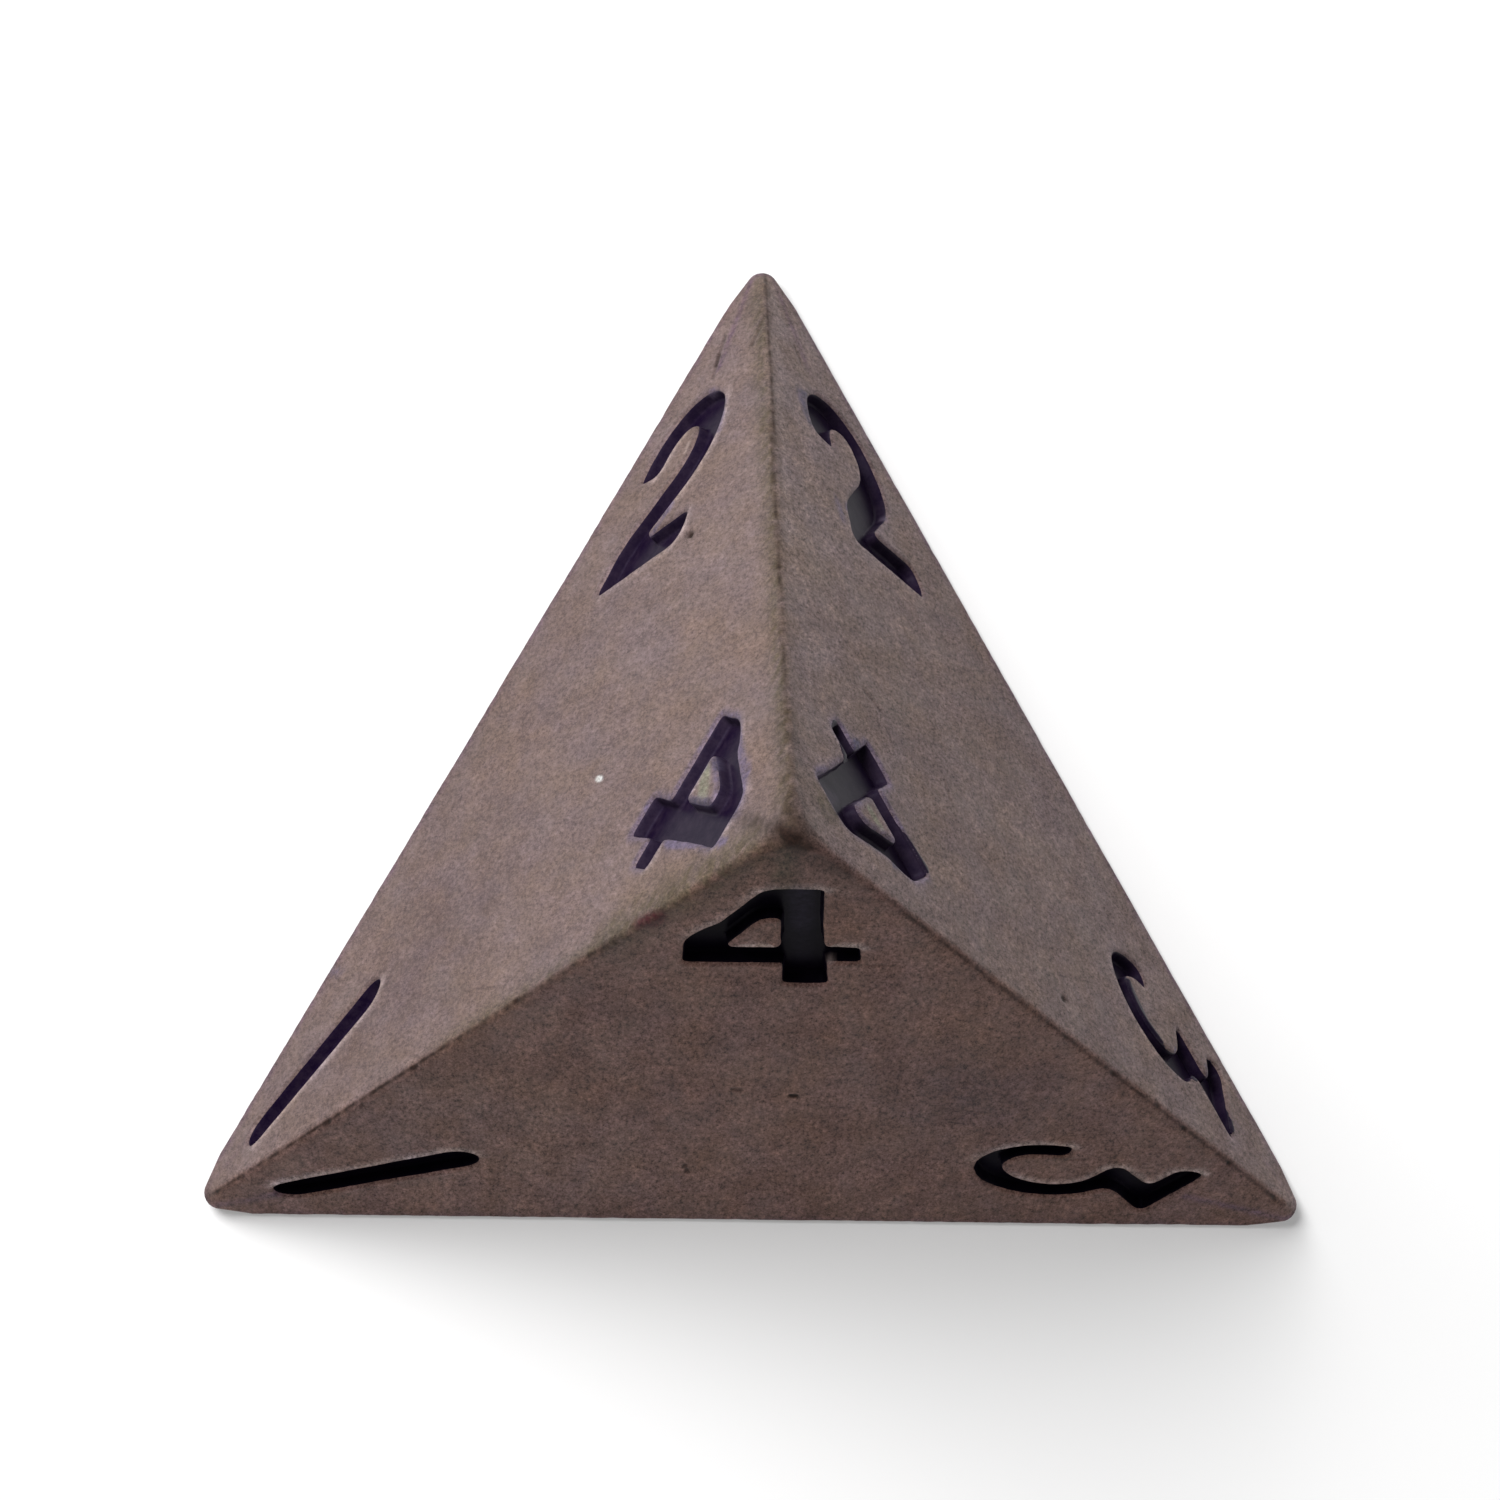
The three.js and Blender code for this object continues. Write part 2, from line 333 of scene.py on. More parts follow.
def hexagon_grid(low, high, step):
    """Points of an even triangular grid over a rectangle."""
    rows = np.arange(low[1], high[1], step * math.sqrt(3) / 2)
    points = []
    for i, up in enumerate(rows):
        columns = np.arange(low[0] + step / 2 * (i % 2), high[0], step)
        points.append(np.column_stack([columns, np.full(len(columns), up)]))
    return np.vstack(points)


def triangulated(points, loops):
    """Triangles over flat points, which keep the closed loops (counts of points at the front) as edges.

    The slivers that the triangulation leaves beside a straight outline are taken out.
    """
    sides = []
    first = 0
    for count in loops:
        sides += [(first + i, first + (i + 1) % count) for i in range(count)]
        first += count
    made = delaunay_2d_cdt([Vector(p) for p in points], sides, [], 0, 1e-6)
    flat, triangles = np.array([list(p) for p in made[0]]), np.array(made[2])
    spans = flat[np.roll(triangles, -1, axis=1)] - flat[triangles]
    doubled = np.abs(spans[:, 0, 0] * spans[:, 1, 1] - spans[:, 0, 1] * spans[:, 1, 0])
    thickness = doubled / np.linalg.norm(spans, axis=2).max(1)
    return flat, triangles[thickness > SLIVER_THICKNESS]


class Shell:
    """Vertices, outward normals and faces of a mesh in the making."""

    def __init__(self):
        self.points = []
        self.normals = []
        self.polygons = []
        self.count = 0

    def add(self, points, normals, polygons):
        """Adds points, their outward normals, and polygons over these points."""
        self.points.append(points)
        self.normals.append(np.broadcast_to(normals, points.shape))
        self.polygons += [[self.count + i for i in polygon] for polygon in polygons]
        self.count += len(points)

    def welded(self):
        """Points, normals and polygons, with the points that coincide made one."""
        points, normals = np.vstack(self.points), np.vstack(self.normals)
        keys = np.round(points / WELD_STEP).astype(np.int64)
        _, kept, where = np.unique(keys, axis=0, return_index=True, return_inverse=True)
        where = where.ravel()
        points, normals, where = points[kept], normals[kept], where.tolist()
        polygons = [[where[i] for i in polygon] for polygon in self.polygons]
        polygons = [polygon for polygon in polygons if len(set(polygon)) == len(polygon)]
        first, second, third = np.array([polygon[:3] for polygon in polygons]).T
        facing = np.cross(points[second] - points[first], points[third] - points[first])
        inward = (facing * normals[first]).sum(1) < 0
        polygons = [p[::-1] if turn else p for p, turn in zip(polygons, inward)]
        return points, normals, polygons


def turned(start, end, share):
    """The unit vector a share of the way from one unit vector to another."""
    angle = math.acos(np.clip(start @ end, -1, 1))
    return (math.sin((1 - share) * angle) * start + math.sin(share * angle) * end) / math.sin(angle)


def face_border(face):
    """Flat points round the face's flat part, counter-clockwise."""
    heading = {n: math.atan2(*face.flatten(corners[n])[0][0][::-1]) for n in face.corners}
    order = sorted(face.corners, key=heading.get)
    border = []
    for a, b in zip(order, order[1:] + order[:1]):
        low, high = sorted((a, b))
        line = face.flatten(edges[low + high].row(face.normal))[0]
        border.append(line[:-1] if a == low else line[:0:-1])
    return np.vstack(border)


def add_face(shell, face, rims, spots):
    """Adds a flat face with its recesses to the shell. Spots are extra flat points for fine detail."""
    border = face_border(face)
    loops = [rim for outlines in rims for rim in outlines]
    distances = [point for point, _ in RECESS_SECTION if point != 0]
    rings = [beside(outlines, distance) for outlines in rims for distance in distances]
    rings += [beside([border], distance) for distance in BORDER_ROWS]
    step = BASE_STEP if face.name == "base" else FACE_STEP
    grid = hexagon_grid(border.min(0), border.max(0), step)
    clear = np.min([distance_to(grid, outlines) for outlines in rims], axis=0)
    beyond = (clear > RECESS_SECTION[-1][0] + step / 3) | (clear < RECESS_SECTION[0][0] - 0.05)
    grid = grid[beyond & (distance_to(grid, [border]) < BORDER_ROWS[-1] - step / 3)]
    clear = np.min([distance_to(spots, outlines) for outlines in rims], axis=0)
    spots = spots[clear > RECESS_SECTION[-1][0]]
    extra = thinned(np.vstack(rings + [spots, grid]), FACE_THINNING)
    inner = distance_to(extra, [border]) < BORDER_ROWS[0] / 2
    loops = loops + [border]
    points = np.vstack(loops + [extra[inner]])
    flat, triangles = triangulated(points, [len(loop) for loop in loops])
    edge = np.min([distance_to(flat, outlines) for outlines in rims], axis=0)
    height = np.interp(edge, *zip(*RECESS_SECTION))
    shell.add(face.place(flat, height), face.normal, triangles)


def add_ridge(shell, edge):
    """Adds a rounded edge."""
    wide = len(edge.places)
    directions = [
        turned(edge.first.normal, edge.second.normal, k / ARC_STEPS) for k in range(ARC_STEPS + 1)
    ]
    quads = [
        (k * wide + i, k * wide + i + 1, (k + 1) * wide + i + 1, (k + 1) * wide + i)
        for k in range(ARC_STEPS)
        for i in range(wide - 1)
    ]
    points = np.vstack([edge.row(direction) for direction in directions])
    shell.add(points, np.repeat(directions, wide, axis=0), quads)


def add_corner(shell, number):
    """Adds the rounded corner where three edges meet."""
    a, b, c = (face.normal for face in faces.values() if number in face.corners)
    if np.cross(b - a, c - a) @ a < 0:
        b, c = c, b
    normals, first = [a], [0]
    for row in range(1, ARC_STEPS + 1):
        first.append(len(normals))
        left, right = turned(a, b, row / ARC_STEPS), turned(a, c, row / ARC_STEPS)
        normals += [turned(left, right, k / row) for k in range(row + 1)]
    triangles = []
    for row in range(ARC_STEPS):
        for k in range(row + 1):
            up, down = first[row] + k, first[row + 1] + k
            triangles.append((up, down, down + 1))
            if k < row:
                triangles.append((up, down + 1, up + 1))
    normals = np.array(normals)
    shell.add(ball_centres[number] + corner_radius * normals, normals, triangles)


rims_of = {
    face.name: {number: rim_outlines(f"paint_{number}_{face.name}", face) for number in face.corners}
    for face in faces.values()
}

# Pits: face, place right and up from its centre, radius, depth and how much darker inside
PITS = (
    ("left", -4.34, -0.68, 0.08, 0.06, 1.0),
    ("front", -1.23, -3.05, 0.05, 0.04, 0.8),
    ("front", -1.20, -3.28, 0.06, 0.04, 0.8),
    ("right", -4.28, 2.05, 0.08, 0.05, 0.9),
    ("front", -0.05, 11.05, 0.10, 0.03, 1.0),
    ("left", 4.18, 4.16, 0.06, 0.03, 0.7),
    ("left", 4.84, 3.13, 0.05, 0.03, 0.7),
    ("front", -5.87, 1.33, 0.08, 0.04, 0.8),
    ("left", 6.53, 0.13, 0.05, 0.03, 0.8),
    ("front", -6.75, -0.40, 0.05, 0.03, 0.8),
    ("left", 7.36, -1.24, 0.09, 0.06, 1.0),
    ("left", 7.57, -1.67, 0.05, 0.04, 0.8),
    ("front", 5.77, 1.46, 0.07, 0.04, 0.8),
    ("right", -6.62, -0.04, 0.06, 0.03, 0.8),
    ("front", 7.17, -1.01, 0.06, 0.04, 0.8),
    ("front", 8.10, -2.63, 0.06, 0.03, 0.8),
    ("front", 9.05, -4.30, 0.06, 0.03, 0.8),
)

# Scratches: face, start, end, half width, depth and how dark
SCRATCHES = (
    ("left", (-8.50, -3.41), (-8.02, -3.22), 0.045, 0.018, 0.25),
    ("left", (-7.54, -4.44), (-8.10, -4.85), 0.04, 0.015, 0.35),
    ("left", (-7.30, -4.20), (-7.75, -4.62), 0.04, 0.015, 0.35),
    ("right", (7.98, -4.16), (7.60, -3.95), 0.04, 0.012, 0.3),
    ("right", (1.71, 3.59), (1.30, 3.35), 0.05, 0.015, 0.3),
    ("right", (-0.16, 1.87), (-0.50, 2.20), 0.04, 0.012, 0.3),
    ("front", (1.29, 6.02), (1.69, 6.03), 0.03, 0.01, 0.3),
    ("front", (0.42, 0.28), (0.53, 0.27), 0.04, 0.04, 1.0),
    ("front", (-0.55, 0.56), (-0.41, 0.54), 0.04, 0.02, 0.5),
    ("front", (5.08, -2.50), (5.59, -2.48), 0.03, 0.01, 0.4),
)


# Smears and worn spots, with painted reflections as blue-grey and lilac patches and painted glints, on
# metal and enamel alike: face, start, end, radius, stain, strength
SMEARS_AND_REFLECTIONS = (
    # Blue-grey and lilac patches on the side faces' numerals: painted reflections
    ("left", (-1.13, 6.79), (-0.58, 8.11), 0.13, "lilac_reflection", 0.95),
    ("left", (-1.08, 6.32), (-0.73, 6.88), 0.11, "haze_reflection", 0.80),
    ("left", (-0.47, 6.44), (-0.03, 7.00), 0.10, "pale", 0.95),
    ("left", (-0.65, 6.70), (-0.60, 6.89), 0.10, "haze_reflection", 0.80),
    ("left", (0.11, 6.72), (0.07, 7.37), 0.10, "haze_reflection", 0.70),
    ("left", (0.32, 6.66), (0.48, 7.52), 0.12, "haze_reflection", 0.75),
    ("left", (0.91, 6.82), (0.58, 8.98), 0.08, "lilac_reflection", 0.90),
    ("left", (0.55, 5.65), (0.47, 5.67), 0.11, "haze_reflection", 0.50),
    ("left", (-0.49, 8.26), (0.07, 8.85), 0.12, "lilac_reflection", 0.50),
    ("left", (-7.02, -3.76), (-6.85, -2.95), 0.10, "lilac_reflection", 0.50),
    ("left", (-6.44, -3.87), (-6.69, -3.73), 0.09, "haze_reflection", 0.60),
    ("left", (-6.70, -2.71), (-6.32, -2.31), 0.06, "lilac_reflection", 0.60),
    ("left", (-3.79, -2.47), (-4.29, -1.91), 0.10, "lilac_reflection", 0.60),
    ("left", (-4.04, -2.61), (-4.84, -2.43), 0.05, "lilac_reflection", 0.80),
    ("left", (-6.01, -3.46), (-5.82, -3.31), 0.04, "bare", 0.60),
    ("left", (4.93, -5.65), (4.93, -5.11), 0.08, "lilac_reflection", 0.60),
    ("left", (8.13, -4.51), (8.14, -4.22), 0.05, "lilac_reflection", 0.50),
    ("right", (0.93, 5.72), (0.19, 6.49), 0.09, "haze_reflection", 0.90),
    ("right", (0.54, 8.53), (0.25, 8.20), 0.20, "lilac_reflection", 0.95),
    ("right", (0.43, 7.84), (0.11, 7.46), 0.14, "lilac_reflection", 0.80),
    ("right", (-0.15, 7.06), (-0.52, 7.02), 0.06, "pale", 0.90),
    ("right", (-0.83, 7.06), (-1.17, 7.43), 0.07, "haze_reflection", 0.80),
    ("right", (7.02, -2.96), (6.54, -2.50), 0.14, "haze_reflection", 0.70),
    ("right", (7.09, -2.81), (6.70, -2.41), 0.08, "lilac_reflection", 0.60),
    ("right", (6.53, -2.69), (6.55, -3.65), 0.06, "lilac_reflection", 0.90),
    ("right", (5.04, -1.30), (4.66, -1.00), 0.08, "lilac_reflection", 0.70),
    ("right", (4.84, -1.75), (4.59, -2.54), 0.12, "lilac_reflection", 0.90),
    ("right", (4.59, -2.54), (4.59, -3.69), 0.10, "lilac_reflection", 0.85),
    ("right", (3.87, -2.35), (3.71, -2.74), 0.10, "haze_reflection", 0.55),
    ("right", (-4.16, -2.67), (-4.37, -2.49), 0.10, "haze_reflection", 0.70),
    ("right", (-5.95, -3.08), (-6.26, -2.48), 0.03, "lilac_reflection", 0.90),
    ("right", (-6.50, -4.44), (-6.76, -4.04), 0.05, "haze_reflection", 0.60),
    # Blue-grey patches on the front numerals: painted reflections
    ("front", (0.25, 8.60), (0.30, 7.65), 0.28, "haze_reflection", 0.50),
    ("front", (0.33, 7.00), (0.36, 6.40), 0.25, "haze_reflection", 0.18),
    ("front", (0.81, 6.50), (0.81, 6.25), 0.09, "bare", 0.75),
    ("front", (4.10, -2.90), (4.10, -3.20), 0.25, "haze_reflection", 0.14),
    ("front", (6.35, -3.60), (6.40, -3.70), 0.25, "haze_reflection", 0.14),
    # Painted glints on the enamel of the front 3
    ("front", (4.63, -1.95), (4.63, -2.00), 0.04, "speck_and_glint", 0.60),
    ("front", (5.42, -3.93), (5.42, -3.98), 0.05, "speck_and_glint", 0.80),
    ("front", (6.03, -3.60), (6.05, -3.66), 0.04, "speck_and_glint", 0.70),
    ("left", (0.21, 1.92), (0.21, 1.99), 0.06, "speck_and_glint", 1.00),
    ("front", (-2.30, 7.70), (-2.00, 7.80), 0.16, "rust", 0.80),
)

# Stains, painted glints and painted sheen in spots so small that the mesh gets points for them
SMALL_SPOTS = ("speck_and_glint", "bare", "pale")

# Thin films of enamel that ran over the rims: face, numeral, start, end and radius
FILMS = (
    ("right", "4", (1.31, 6.27), (0.34, 7.05), 0.10),
    ("right", "4", (-0.10, 8.27), (-0.76, 7.66), 0.13),
    ("right", "4", (0.07, 6.35), (-1.38, 5.89), 0.12),
    ("right", "3", (-4.53, -2.46), (-4.86, -2.32), 0.10),
    ("right", "3", (-4.86, -2.32), (-5.33, -2.19), 0.10),
    ("right", "3", (-5.33, -2.19), (-5.91, -2.39), 0.10),
    ("right", "3", (-6.02, -3.59), (-6.57, -3.27), 0.08),
    ("right", "3", (-6.49, -4.92), (-7.67, -3.77), 0.07),
)

# Mesh spacing of the films, their rings round a rim, how far they reach over it, and their body
FILM_STEP = 0.045
FILM_DIRECTIONS = 48
FILM_RINGS = (-0.03, -0.003, 0.02, 0.045, 0.085)
FILM_OVERLAP = 0.03
FILM_HEIGHT = 0.005
FILM_DEPTH = 0.006
FILM_LAP = 0.001


def spot_place(face_name, right, up):
    """The point in space for a place on a face."""
    return faces[face_name].place((right, up))[0]


def to_segment(points, start, end):
    """Distance from points to the straight line between two points, with heights counted in part."""
    points, start, end = points * DRAWN_OUT, start * DRAWN_OUT, end * DRAWN_OUT
    span = end - start
    share = np.clip((points - start) @ span / max(span @ span, 1e-9), 0, 1)
    return np.linalg.norm(points - start - share[:, None] * span, axis=1)


def marks(points):
    """For every pit and scratch: distances of the points in shares of its half width, depth, darkness."""
    for face_name, right, up, radius, depth, painted_dark in PITS:
        spot = spot_place(face_name, right, up)
        yield to_segment(points, spot, spot) / radius, depth, painted_dark
    for face_name, start, end, radius, depth, painted_dark in SCRATCHES:
        ends = spot_place(face_name, *start), spot_place(face_name, *end)
        yield to_segment(points, *ends) / radius, depth, painted_dark


def detail_points(face):
    """Extra flat points of a face, on rings along its pits, scratches, small stains and painted glints."""
    angles = np.linspace(0, 2 * math.pi, 12, endpoint=False)
    ring = np.column_stack([np.cos(angles), SLOPE_STRETCH * np.sin(angles)])
    marked = [(place, (right, up), (right, up), radius) for place, right, up, radius, _, _ in PITS]
    marked += [(place, start, end, radius) for place, start, end, radius, _, _ in SCRATCHES]
    marked += [mark[:4] for mark in SMEARS_AND_REFLECTIONS if mark[4] in SMALL_SPOTS]
    found = [np.zeros((0, 2))]
    for place, start, end, radius in marked:
        if place == face.name:
            count = 1 + round(math.dist(start, end) / (1.5 * radius))
            for spot in np.linspace(start, end, count):
                found += [spot + share * radius * ring for share in (0.01, 0.5, 1.0, 1.5)]
    return np.vstack(found)


# The skin's mean depth under the true shape, its waves (size, height and seed), and the wear of the edges
MEAN_SINK = 0.015
SKIN_WAVES = ((2.2, 0.006, 3), (0.6, 0.004, 4))
UPPER_EDGE_WEAR = 0.030
LOWER_EDGE_WEAR = 0.012
EDGE_WEAR_REACH = 0.3
EDGE_WEAR_CORE = 0.1
EDGE_WEAR_SIZE = 0.22

# Marks, smears and painted reflections fade between these shares of their half width
MARK_END, MARK_FLOOR, MARK_DARK = 1.3, 0.2, 0.6
SPOT_END, SPOT_CORE = 1.35, 0.45


def relief(points):
    """How far the skin lies below the true shape: slight waves, worn edges, pits and scratches."""
    sunk = MEAN_SINK + sum(height * lumps(points, size, seed) for size, height, seed in SKIN_WAVES)
    for edge in edges.values():
        _, _, off = edge.coordinates(points)
        near = off < EDGE_WEAR_REACH
        wear = np.abs(lumps(points[near], EDGE_WEAR_SIZE, 5))
        wear *= smooth_step(-off[near], -EDGE_WEAR_REACH, -EDGE_WEAR_CORE)
        sunk[near] += (UPPER_EDGE_WEAR if "4" in edge.ends else LOWER_EDGE_WEAR) * wear
    for away, depth, _ in marks(points):
        sunk += depth * smooth_step(-away, -MARK_END, -MARK_FLOOR)
    return sunk


def bell(value, centre, width):
    """Rises to 1 at the centre and fades on both sides."""
    return np.exp(-(((value - centre) / width) ** 2))


# Bands along the edges: dark and olive painted shade along the ridges to the top corner, painted sheen
# beside ridge 2-4, and a violet tint along the lower edges; edge, stain, sideways place, width, from and to
# along it, strength
BANDS = (
    ("14", "painted_dark", -0.05, 0.080, -9.4, -0.5, 1.00),
    ("14", "painted_dark", -0.03, 0.12, -0.5, 4.5, 0.60),
    ("14", "olive_shade", -0.20, 0.25, -1.0, 4.5, 0.60),
    ("14", "olive_shade", -0.25, 0.60, 4.0, 9.0, 1.00),
    ("14", "painted_dark", 0.08, 0.20, 4.0, 9.0, 0.35),
    ("34", "painted_dark", 0.03, 0.07, -9.4, 6.5, 0.70),
    ("34", "painted_dark", 0.22, 0.20, 7.5, 10.5, 0.60),
    ("24", "painted_dark", -0.08, 0.06, -9.4, -3.0, 0.80),
    ("24", "painted_dark", 0.02, 0.10, -3.5, 6.0, 0.60),
    ("24", "painted_dark", 0.00, 0.35, 6.0, 10.5, 0.35),
    ("24", "olive_shade", 0.15, 0.30, -9.0, 10.5, 0.85),
    ("24", "bare", -0.38, 0.13, -9.0, 1.5, 0.35),
    ("24", "bare", -0.95, 0.95, -9.5, 9.0, 0.16),
    ("12", "violet", 0.17, 0.22, -9.8, 9.8, 0.75),
    ("23", "violet", 0.17, 0.18, -9.8, 9.8, 0.95),
    ("13", "violet", 0.17, 0.14, -9.8, 9.8, 0.30),
)

# Broad patches of painted shade and painted light across the faces: face, place right and up, radius,
# stain, strength
BROAD_SHADE_AND_LIGHT = (
    ("left", 4.60, -1.80, 2.60, "broad_shade", 0.45),
    ("left", -0.50, -4.00, 2.60, "broad_shade", 0.15),
    ("right", 4.50, 0.50, 2.60, "bare", 0.10),
    ("right", -0.50, -4.00, 2.20, "broad_shade", 0.20),
    ("right", 2.00, -3.50, 1.60, "broad_shade", 0.20),
    ("right", -7.00, -3.00, 1.80, "broad_shade", 0.20),
    ("front", 3.60, 0.40, 2.00, "broad_shade", 0.65),
    ("front", -4.93, -0.50, 2.00, "bare", 0.07),
    ("front", -3.50, -3.80, 2.50, "bare", 0.07),
)

# How strongly grain and blotches show on each face
FACE_COARSENESS = {"front": 0.95, "left": 0.55, "right": 0.80, "base": 0.90}

# Painted highlight along the upper rims of the numerals, and the thin lilac painted reflection on metal and
# enamel there
RIM_HIGHLIGHT_PLACE, RIM_HIGHLIGHT_WIDTH = 0.11, 0.085
RIM_HIGHLIGHT = {"front": 1.20, "left": 1.10, "right": 0.45, "base": 0.50}
RIM_REFLECTION = {"4": 0.65, "2": 0.15, "3": 0.10, "1": 0.05}
RIM_REFLECTION_PLACE, RIM_REFLECTION_WIDTH = 0.02, 0.10
ENAMEL_REFLECTION = {"4": 0.12, "2": 0.05, "3": 0.02, "1": 0.0}
ENAMEL_REFLECTION_WIDTH = 0.06
RIM_LOOK = 0.02
RIM_REACH = 0.3
RIM_BREAKS = (0.8, 0.5, 0.5)

# Bands of painted shade, painted sheen and violet tint: how far they are followed, how they fade at their
# ends, mean, range and size of breaks
BAND_REACH = 2.5
BAND_FADE = 0.7
BAND_BREAKS = (0.85, 0.8, 0.2)

# Painted shade round the top corner, and painted shade with a warm umber cast over the whole front face
TOP_SHADE, TOP_SHADE_END, TOP_SHADE_CORE = 0.40, 1.6, 0.6
FRONT_SHADE = 0.85

# Heights over a face between which its painted front shade or its coarseness rises
FRONT_SHADE_BLEND = (-0.25, -0.02)
COARSE_BLEND = (-0.4, -0.02)

# Colours of the stains and of the painted shade, sheen, highlights, reflections and glints, in the order in
# which they lie over one another
STAIN_AND_LIGHT_COLOURS = {
    # Painted shade of the front face, warm umber
    "front_shade": (0.1505, 0.0818, 0.0662, 1),
    # Broad painted shade
    "broad_shade": (0.085, 0.052, 0.052, 1),
    # Bare worn metal, and painted sheen where it lies beside ridge 2-4, over the numerals' upper rims and
    # in broad light patches
    "bare": (0.320, 0.245, 0.230, 1),
    # Olive painted shade along the ridges to the top corner
    "olive_shade": (0.095, 0.070, 0.047, 1),
    "violet": (0.120, 0.071, 0.095, 1),
    "pale": (0.210, 0.200, 0.150, 1),
    # Lilac painted reflection
    "lilac_reflection": (0.125, 0.096, 0.145, 1),
    # Blue-grey painted reflection
    "haze_reflection": (0.056, 0.046, 0.080, 1),
    "rust": (0.060, 0.012, 0.016, 1),
    # Painted glint, and a pale speck
    "speck_and_glint": (0.600, 0.600, 0.580, 1),
    # Painted shade along the ridges and round the top corner, and the darker insides of pits and scratches
    "painted_dark": (0.022, 0.011, 0.008, 1),
}


def rim_shares(points):
    """Shares of the painted highlight on the upper rims and of the lilac painted reflection at points near
    the rims of the numerals.
    """
    line, rim_reflection = np.zeros(len(points)), np.zeros(len(points))
    for face in faces.values():
        flat, height = face.flatten(points)
        for number, outlines in rims_of[face.name].items():
            low, high = outlines[0].min(0) - RIM_REACH, outlines[0].max(0) + RIM_REACH
            near = np.flatnonzero((flat > low).all(1) & (flat < high).all(1) & (np.abs(height) < 0.1))
            away = distance_to(flat[near], outlines)
            above = (distance_to(flat[near] + (0, RIM_LOOK), outlines) - away) / RIM_LOOK
            breaks = RIM_BREAKS[0] + RIM_BREAKS[1] * lumps(points[near], RIM_BREAKS[2], 7)
            # Painted highlight, only on the rims' upper sides
            worn = RIM_HIGHLIGHT[face.name] * bell(away, RIM_HIGHLIGHT_PLACE, RIM_HIGHLIGHT_WIDTH)
            line[near] += worn * smooth_step(above, 0.1, 0.9) * breaks
            # Lilac painted reflection round the rims, on the side faces only
            if face.name != "front":
                rim_reflection[near] += RIM_REFLECTION[number] * bell(away, RIM_REFLECTION_PLACE, RIM_REFLECTION_WIDTH)
    return line, rim_reflection


def smears_and_reflections(points):
    """For every smear, painted reflection and glint: its stain and its share at each point."""
    for face_name, start, end, radius, name, strength in SMEARS_AND_REFLECTIONS:
        ends = spot_place(face_name, *start), spot_place(face_name, *end)
        away = to_segment(points, *ends) / radius
        yield name, strength * smooth_step(-away, -SPOT_END, -SPOT_CORE)


def coarseness(points):
    """How strongly the metal's grain and blotches show at each point, after the face it lies on."""
    found, total = np.zeros(len(points)), np.full(len(points), 1e-6)
    for face in faces.values():
        near = smooth_step(face.flatten(points)[1], *COARSE_BLEND)
        found += FACE_COARSENESS[face.name] * near
        total += near
    return found / total


def stains_and_light(points):
    """The share of each stain and of each painted shade, sheen, highlight and reflection at each point."""
    found = {name: np.zeros(len(points)) for name in STAIN_AND_LIGHT_COLOURS}
    # Painted shade and painted sheen along the ridges, and a violet tint along the lower edges
    for key, name, place, width, low, high, strength in BANDS:
        along, side, off = edges[key].coordinates(points)
        near = off < BAND_REACH
        share = bell(side[near], place, width)
        share *= smooth_step(along[near], low - BAND_FADE, low + BAND_FADE)
        share *= smooth_step(-along[near], -high - BAND_FADE, BAND_FADE - high)
        share *= BAND_BREAKS[0] + BAND_BREAKS[1] * lumps(points[near], BAND_BREAKS[2], 6)
        found[name][near] += strength * share
    for away, _, painted_dark in marks(points):
        found["painted_dark"] += painted_dark * smooth_step(-away, -MARK_END, -MARK_DARK)
    for name, share in smears_and_reflections(points):
        found[name] += share
    # Broad patches of painted shade and painted light
    for face_name, right, up, radius, name, strength in BROAD_SHADE_AND_LIGHT:
        away = np.linalg.norm(points - spot_place(face_name, right, up), axis=1)
        found[name] += strength * bell(away, 0, radius)
    line, rim_reflection = rim_shares(points)
    # The rims' painted highlight and lilac painted reflection
    found["bare"] += line
    found["lilac_reflection"] += rim_reflection
    # Painted shade darkens the metal round the top corner
    top = np.linalg.norm(points - corners["4"], axis=1)
    found["painted_dark"] += TOP_SHADE * smooth_step(-top, -TOP_SHADE_END, -TOP_SHADE_CORE)
    # Painted shade with a warm umber cast over the whole front face
    _, height = faces["front"].flatten(points)
    found["front_shade"] += FRONT_SHADE * smooth_step(height, *FRONT_SHADE_BLEND)
    return {name: np.clip(values, 0, 1) for name, values in found.items()}


def mesh_object(name, points, polygons, material, shares):
    """A shaded mesh from points in millimetres, with its stains and painted light, riding on the die's one
    body.
    """
    mesh = bpy.data.meshes.new(name)
    mesh.from_pydata((np.asarray(points) * MM).tolist(), [], [list(map(int, p)) for p in polygons])
    mesh.shade_smooth()
    mesh.materials.append(material)
    for stain, values in shares.items():
        mesh.attributes.new(stain, "FLOAT", "POINT").data.foreach_set("value", values)
    made = bpy.data.objects.new(name, mesh)
    bpy.context.scene.collection.objects.link(made)
    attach(made, "root")
    return made


def make_casting(material):
    """The casting, one closed skin: faces with recesses, rounded edges and rounded corners."""
    shell = Shell()
    for face in faces.values():
        add_face(shell, face, list(rims_of[face.name].values()), detail_points(face))
    for edge in edges.values():
        add_ridge(shell, edge)
    for number in corners:
        add_corner(shell, number)
    points, normals, polygons = shell.welded()
    worn = points - relief(points)[:, None] * normals
    shares = stains_and_light(points) | {"coarse": coarseness(points)}
    made = mesh_object("die_casting", worn, polygons, material, shares)
    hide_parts("die_body")
    return made


